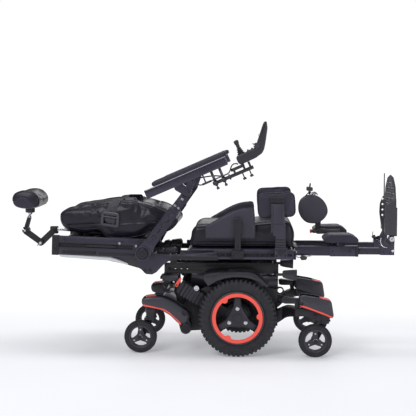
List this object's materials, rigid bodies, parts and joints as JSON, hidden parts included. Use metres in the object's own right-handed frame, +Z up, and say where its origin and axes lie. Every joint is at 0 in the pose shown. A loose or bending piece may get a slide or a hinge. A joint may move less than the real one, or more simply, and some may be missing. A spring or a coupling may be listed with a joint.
{
  "type": "power wheelchair",
  "caption": "Mid-wheel-drive power wheelchair with a lying-flat seat, reclining back, raised legrests, armrests, joystick and headrest.",
  "frame": {"origin": "on the floor, at the middle of the chair's overall length and width", "axes": "+X towards the feet (the way the chair drives), +Y to the sitter's left, +Z up"},
  "size_m": [1.8059, 0.632, 1.0692],
  "materials": {
    "black_frame": "satin powder coat",
    "battery_case": "moulded",
    "motor_case": "satin",
    "base_plastic": "fine moulded grain",
    "tie_down_steel": "satin",
    "lift_steel": "anodised",
    "drive_tyre": "rubber with a plastic rim",
    "arm_cover": "semi-gloss with a coral strip",
    "caster_tyre": "rubber with a plastic hub",
    "coral_plastic": "semi-gloss",
    "rail_metal": "dark anodised",
    "black_vinyl": "glossy upholstery",
    "arm_foam": "skinned foam",
    "grey_panel": "grey skin",
    "bright_steel": "polished",
    "control_plastic": "fine grain",
    "stick_rubber": "matt",
    "footplate_plastic": "satin"
  },
  "bodies": {
    "base": {"chassis_frame": "black_frame", "batteries": "battery_case", "drive_motors": "motor_case", "base_shrouds": "base_plastic", "control_module": "motor_case", "light_pods": "base_plastic", "tie_down_loops": "tie_down_steel", "lift_outer_column": "lift_steel"},
    "lift_carriage": {"lift_carriage": "black_frame"},
    "seat": {"seat_frame": "rail_metal", "seat_cushion": "black_vinyl", "side_panels": "grey_panel"},
    "back": {"back_frame": "rail_metal"},
    "back_shell": {"back_shell": "base_plastic", "back_cushion": "black_vinyl"},
    "headrest_bar": {"headrest_bar": "bright_steel"},
    "headrest_link": {"headrest_link": "bright_steel"},
    "headrest_pad": {"headrest_pad": "black_vinyl"},
    "joystick": {"joystick_mount": "base_plastic", "joystick_module": "control_plastic"},
    "joystick_gimbal": {"joystick_gimbal": "bright_steel"},
    "joystick_stick": {"joystick_stick": "stick_rubber"},
    "joystick_rocker": {"joystick_rocker": "control_plastic"},
    "legrest": {"legrest_frame": "rail_metal", "calf_pads": "black_vinyl"},
    "knee_pad": {"knee_pad": "black_vinyl"},
    "drive_wheel_right": {"drive_wheel_right": "drive_tyre"},
    "front_arm_right": {"front_arm_right": "black_frame", "front_arm_cover_right": "arm_cover"},
    "front_fork_right": {"front_fork_right": "black_frame"},
    "front_caster_right": {"front_caster_right": "caster_tyre"},
    "rear_arm_right": {"rear_arm_right": "black_frame", "rear_arm_cover_right": "arm_cover"},
    "rear_fork_right": {"rear_fork_right": "black_frame"},
    "rear_caster_right": {"rear_caster_right": "caster_tyre"},
    "freewheel_lever_right": {"freewheel_lever_right": "coral_plastic"},
    "thigh_support_right": {"thigh_bracket_right": "grey_panel", "thigh_pad_right": "black_vinyl"},
    "armrest_post_right": {"armrest_post_right": "rail_metal"},
    "armrest_right": {"armrest_beam_right": "rail_metal", "armrest_pad_right": "arm_foam"},
    "leg_slide_right": {"leg_slide_right": "rail_metal"},
    "footplate_right": {"footplate_right": "footplate_plastic"},
    "drive_wheel_left": {"drive_wheel_left": "drive_tyre"},
    "front_arm_left": {"front_arm_left": "black_frame", "front_arm_cover_left": "arm_cover"},
    "front_fork_left": {"front_fork_left": "black_frame"},
    "front_caster_left": {"front_caster_left": "caster_tyre"},
    "rear_arm_left": {"rear_arm_left": "black_frame", "rear_arm_cover_left": "arm_cover"},
    "rear_fork_left": {"rear_fork_left": "black_frame"},
    "rear_caster_left": {"rear_caster_left": "caster_tyre"},
    "freewheel_lever_left": {"freewheel_lever_left": "coral_plastic"},
    "thigh_support_left": {"thigh_bracket_left": "grey_panel", "thigh_pad_left": "black_vinyl"},
    "armrest_post_left": {"armrest_post_left": "rail_metal"},
    "armrest_left": {"armrest_beam_left": "rail_metal", "armrest_pad_left": "arm_foam"},
    "leg_slide_left": {"leg_slide_left": "rail_metal"},
    "footplate_left": {"footplate_left": "footplate_plastic"}
  },
  "joints": [
    {"name": "seat_lift", "type": "slide", "parent": "base", "child": "lift_carriage", "axis": [0, 0, 1], "range_m": [0, 0.2]},
    {"name": "seat_tilt", "type": "hinge", "parent": "lift_carriage", "child": "seat", "pos_m": [-0.126, 0, 0.424], "axis": [0, -1, 0], "range_deg": [0, 30]},
    {"name": "back_recline", "type": "hinge", "parent": "seat", "child": "back", "pos_m": [-0.258, 0, 0.47], "axis": [0, 1, 0], "range_deg": [0, 80]},
    {"name": "back_glide", "type": "slide", "parent": "back", "child": "back_shell", "axis": [-0.9994, 0, 0.0349], "range_m": [0, 0.155]},
    {"name": "headrest_bar_slide", "type": "slide", "parent": "back_shell", "child": "headrest_bar", "axis": [-0.9994, 0, 0.0349], "range_m": [-0.055, 0.03]},
    {"name": "headrest_link_hinge", "type": "hinge", "parent": "headrest_bar", "child": "headrest_link", "pos_m": [-0.783, 0, 0.487], "axis": [0, 1, 0], "range_deg": [-25, 10]},
    {"name": "headrest_pad_tilt", "type": "hinge", "parent": "headrest_link", "child": "headrest_pad", "pos_m": [-0.836, 0, 0.631], "axis": [0, 1, 0], "range_deg": [-20, 20]},
    {"name": "drive_wheel_right_spin", "type": "hinge", "parent": "base", "child": "drive_wheel_right", "pos_m": [0.174, -0.268, 0.178], "axis": [0, 1, 0], "continuous": true},
    {"name": "front_arm_right_swing", "type": "hinge", "parent": "base", "child": "front_arm_right", "pos_m": [0.334, -0.19, 0.165], "axis": [0, -1, 0], "range_deg": [-5, 5], "stiffness_Nm_per_rad": 5000},
    {"name": "rear_arm_right_swing", "type": "hinge", "parent": "base", "child": "rear_arm_right", "pos_m": [-0.065, -0.205, 0.117], "axis": [0, 1, 0], "range_deg": [-5, 5], "stiffness_Nm_per_rad": 5000},
    {"name": "front_fork_right_swivel", "type": "hinge", "parent": "front_arm_right", "child": "front_fork_right", "pos_m": [0.569, -0.275, 0.18], "axis": [0, 0, 1], "continuous": true},
    {"name": "rear_fork_right_swivel", "type": "hinge", "parent": "rear_arm_right", "child": "rear_fork_right", "pos_m": [-0.226, -0.215, 0.18], "axis": [0, 0, 1], "continuous": true},
    {"name": "front_caster_right_roll", "type": "hinge", "parent": "front_fork_right", "child": "front_caster_right", "pos_m": [0.527, -0.275, 0.076], "axis": [0, 1, 0], "continuous": true},
    {"name": "rear_caster_right_roll", "type": "hinge", "parent": "rear_fork_right", "child": "rear_caster_right", "pos_m": [-0.276, -0.215, 0.076], "axis": [0, 1, 0], "continuous": true},
    {"name": "freewheel_lever_right_turn", "type": "hinge", "parent": "base", "child": "freewheel_lever_right", "pos_m": [-0.109, -0.2, 0.314], "axis": [0, -1, 0], "range_deg": [0, 50]},
    {"name": "thigh_support_right_swing", "type": "hinge", "parent": "seat", "child": "thigh_support_right", "pos_m": [0.37, -0.258, 0.48], "axis": [0, 0, 1], "range_deg": [0, 60]},
    {"name": "armrest_post_right_lean", "type": "hinge", "parent": "seat", "child": "armrest_post_right", "pos_m": [-0.258, -0.265, 0.47], "axis": [0, 1, 0], "range_deg": [-33, 0]},
    {"name": "armrest_right_level", "type": "hinge", "parent": "armrest_post_right", "child": "armrest_right", "pos_m": [-0.05487, -0.265, 0.74781], "axis": [0, 1, 0], "range_deg": [0, 55]},
    {"name": "drive_wheel_left_spin", "type": "hinge", "parent": "base", "child": "drive_wheel_left", "pos_m": [0.174, 0.268, 0.178], "axis": [0, 1, 0], "continuous": true},
    {"name": "front_arm_left_swing", "type": "hinge", "parent": "base", "child": "front_arm_left", "pos_m": [0.334, 0.19, 0.165], "axis": [0, -1, 0], "range_deg": [-5, 5], "stiffness_Nm_per_rad": 5000},
    {"name": "rear_arm_left_swing", "type": "hinge", "parent": "base", "child": "rear_arm_left", "pos_m": [-0.065, 0.205, 0.117], "axis": [0, 1, 0], "range_deg": [-5, 5], "stiffness_Nm_per_rad": 5000},
    {"name": "front_fork_left_swivel", "type": "hinge", "parent": "front_arm_left", "child": "front_fork_left", "pos_m": [0.569, 0.275, 0.18], "axis": [0, 0, 1], "continuous": true},
    {"name": "rear_fork_left_swivel", "type": "hinge", "parent": "rear_arm_left", "child": "rear_fork_left", "pos_m": [-0.226, 0.215, 0.18], "axis": [0, 0, 1], "continuous": true},
    {"name": "front_caster_left_roll", "type": "hinge", "parent": "front_fork_left", "child": "front_caster_left", "pos_m": [0.527, 0.275, 0.076], "axis": [0, 1, 0], "continuous": true},
    {"name": "rear_caster_left_roll", "type": "hinge", "parent": "rear_fork_left", "child": "rear_caster_left", "pos_m": [-0.276, 0.215, 0.076], "axis": [0, 1, 0], "continuous": true},
    {"name": "freewheel_lever_left_turn", "type": "hinge", "parent": "base", "child": "freewheel_lever_left", "pos_m": [-0.109, 0.2, 0.314], "axis": [0, -1, 0], "range_deg": [0, 50]},
    {"name": "thigh_support_left_swing", "type": "hinge", "parent": "seat", "child": "thigh_support_left", "pos_m": [0.37, 0.258, 0.48], "axis": [0, 0, -1], "range_deg": [0, 60]},
    {"name": "armrest_post_left_lean", "type": "hinge", "parent": "seat", "child": "armrest_post_left", "pos_m": [-0.258, 0.265, 0.47], "axis": [0, 1, 0], "range_deg": [-33, 0]},
    {"name": "armrest_left_level", "type": "hinge", "parent": "armrest_post_left", "child": "armrest_left", "pos_m": [-0.05487, 0.265, 0.74781], "axis": [0, 1, 0], "range_deg": [0, 55]},
    {"name": "joystick_mount_slide", "type": "slide", "parent": "armrest_right", "child": "joystick", "axis": [0.9184, 0, 0.3955], "range_m": [-0.015, 0.015]},
    {"name": "joystick_forward_back", "type": "hinge", "parent": "joystick", "child": "joystick_gimbal", "pos_m": [0.19209, -0.275, 0.91514], "axis": [0, 1, 0], "range_deg": [-18, 18], "stiffness_Nm_per_rad": 0.4},
    {"name": "joystick_side_to_side", "type": "hinge", "parent": "joystick_gimbal", "child": "joystick_stick", "pos_m": [0.19209, -0.275, 0.91514], "axis": [0.9184, 0, 0.3955], "range_deg": [-18, 18], "stiffness_Nm_per_rad": 0.4},
    {"name": "joystick_rocker_press", "type": "hinge", "parent": "joystick", "child": "joystick_rocker", "pos_m": [0.23052, -0.275, 0.93713], "axis": [0, 1, 0], "range_deg": [-8, 8], "stiffness_Nm_per_rad": 0.2},
    {"name": "legrest_elevate", "type": "hinge", "parent": "seat", "child": "legrest", "pos_m": [0.442, 0, 0.468], "axis": [0, 1, 0], "range_deg": [0, 85]},
    {"name": "knee_pad_fold", "type": "hinge", "parent": "legrest", "child": "knee_pad", "pos_m": [0.554, 0, 0.548], "axis": [0, 1, 0], "range_deg": [0, 20]},
    {"name": "leg_slide_right_shorten", "type": "slide", "parent": "legrest", "child": "leg_slide_right", "axis": [-1, 0, 0], "range_m": [0, 0.05]},
    {"name": "footplate_right_fold", "type": "hinge", "parent": "leg_slide_right", "child": "footplate_right", "pos_m": [0.886, -0.12, 0.526], "axis": [0, -1, 0], "range_deg": [0, 38]},
    {"name": "leg_slide_left_shorten", "type": "slide", "parent": "legrest", "child": "leg_slide_left", "axis": [-1, 0, 0], "range_m": [0, 0.05]},
    {"name": "footplate_left_fold", "type": "hinge", "parent": "leg_slide_left", "child": "footplate_left", "pos_m": [0.886, 0.12, 0.526], "axis": [0, -1, 0], "range_deg": [0, 38]}
  ],
  "couplings": [
    {"joint": "back_glide", "follows": "back_recline", "m_per_rad": 0.11},
    {"joint": "armrest_post_right_lean", "follows": "back_recline", "ratio": -0.41},
    {"joint": "armrest_right_level", "follows": "back_recline", "ratio": 0.68},
    {"joint": "leg_slide_right_shorten", "follows": "legrest_elevate", "m_per_rad": 0.0335},
    {"joint": "armrest_post_left_lean", "follows": "back_recline", "ratio": -0.41},
    {"joint": "armrest_left_level", "follows": "back_recline", "ratio": 0.68},
    {"joint": "leg_slide_left_shorten", "follows": "legrest_elevate", "m_per_rad": 0.0335}
  ]
}
